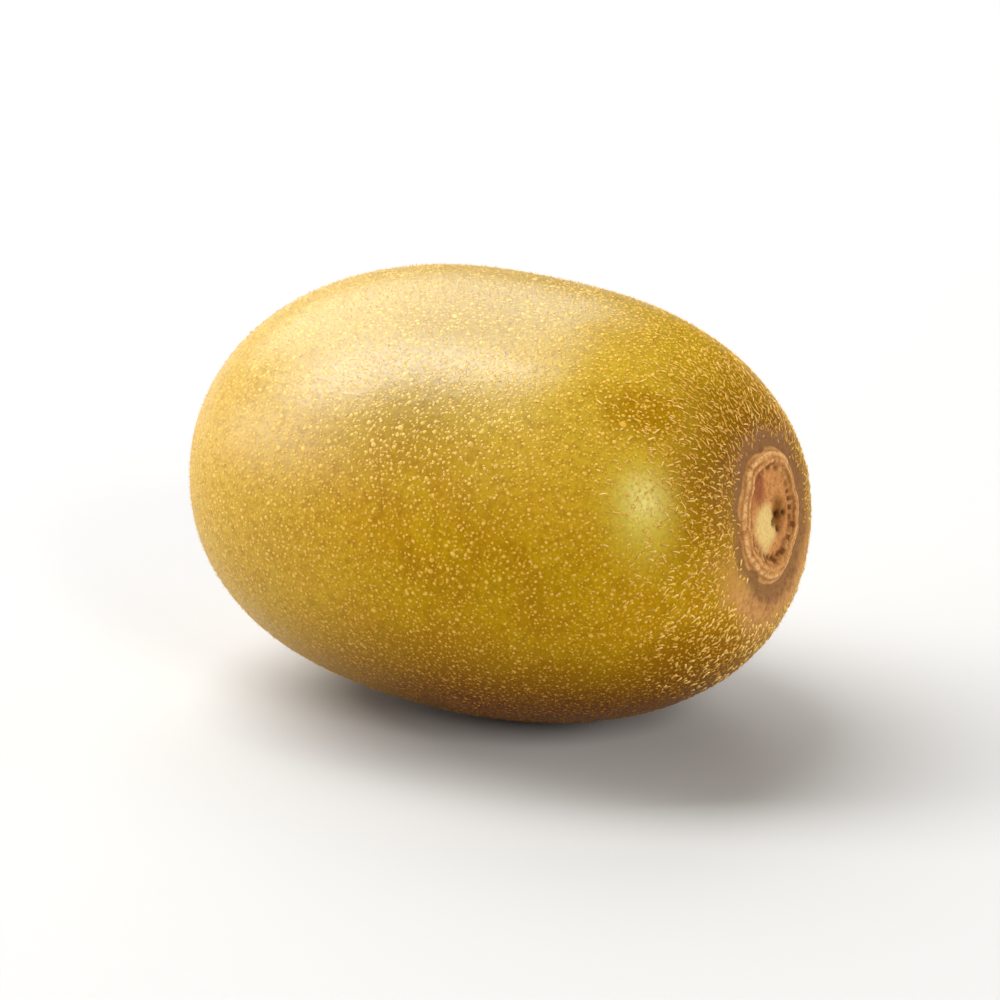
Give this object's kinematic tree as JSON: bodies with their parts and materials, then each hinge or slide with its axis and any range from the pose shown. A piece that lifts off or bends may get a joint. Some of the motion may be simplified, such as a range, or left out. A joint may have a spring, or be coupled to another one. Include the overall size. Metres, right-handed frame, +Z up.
{
  "type": "golden kiwi fruit",
  "caption": "Whole golden kiwi fruit lying on its side: blunt oval body with a corky stem scar at one end and dried flower styles at the other.",
  "frame": {"origin": "on the surface that the fruit rests on, under the middle of its box, inside the small flat resting spot", "axes": "+Z up; +X along the fruit towards its stem end; +Y across it"},
  "size_m": [0.0747, 0.0528, 0.0505],
  "materials": {
    "kiwi_skin": "matt golden brown skin with a soft sheen, fine pale dots and a very short down"
  },
  "bodies": {
    "root": {"kiwi_fruit": "kiwi_skin"}
  },
  "joints": []
}
